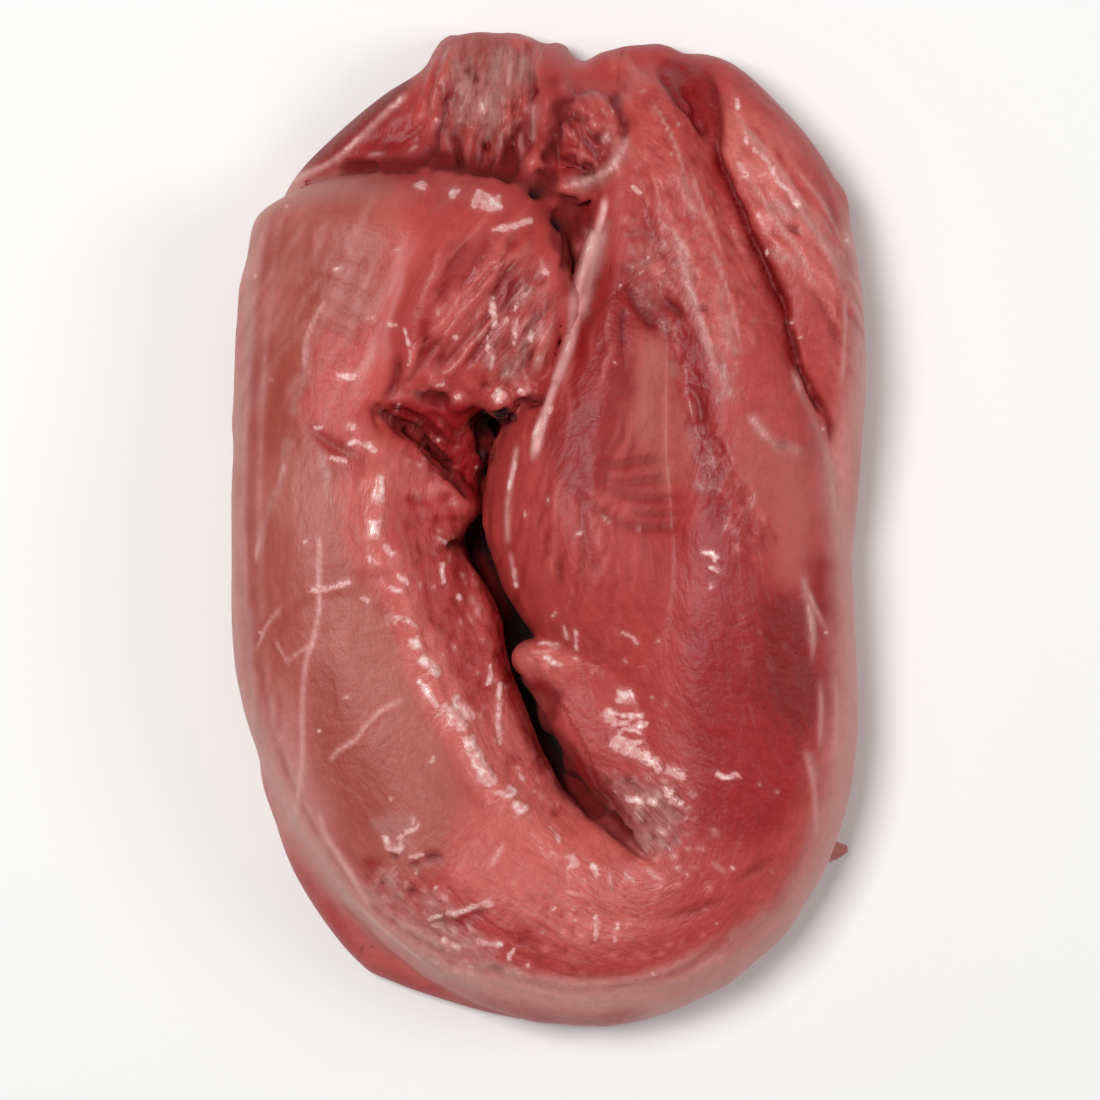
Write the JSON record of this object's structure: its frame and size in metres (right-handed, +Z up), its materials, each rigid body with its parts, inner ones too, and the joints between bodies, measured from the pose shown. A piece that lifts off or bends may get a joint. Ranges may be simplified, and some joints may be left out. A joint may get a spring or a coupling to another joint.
{
  "type": "raw beef fillet",
  "caption": "Whole trimmed raw beef fillet, folded into a U: thin limb with its tail tucked back, thick limb with side muscle, and a deep cleft between the limbs",
  "frame": {"origin": "on the surface that the fillet lies on, below the middle of its outline seen from above", "axes": "+Z up; -Y towards the fold of the U, +Y towards the open end with the head and the tail's flap; +X towards the thick limb, -X towards the thin limb"},
  "size_m": [0.1704, 0.2706, 0.0574],
  "materials": {
    "raw_beef": "wet raw beef: red muscle with fine fibres, tan silverskin over the thin limb, pale membrane lines and a cream-pink strip of fat"
  },
  "bodies": {
    "root": {"fillet": "raw_beef"}
  },
  "joints": []
}
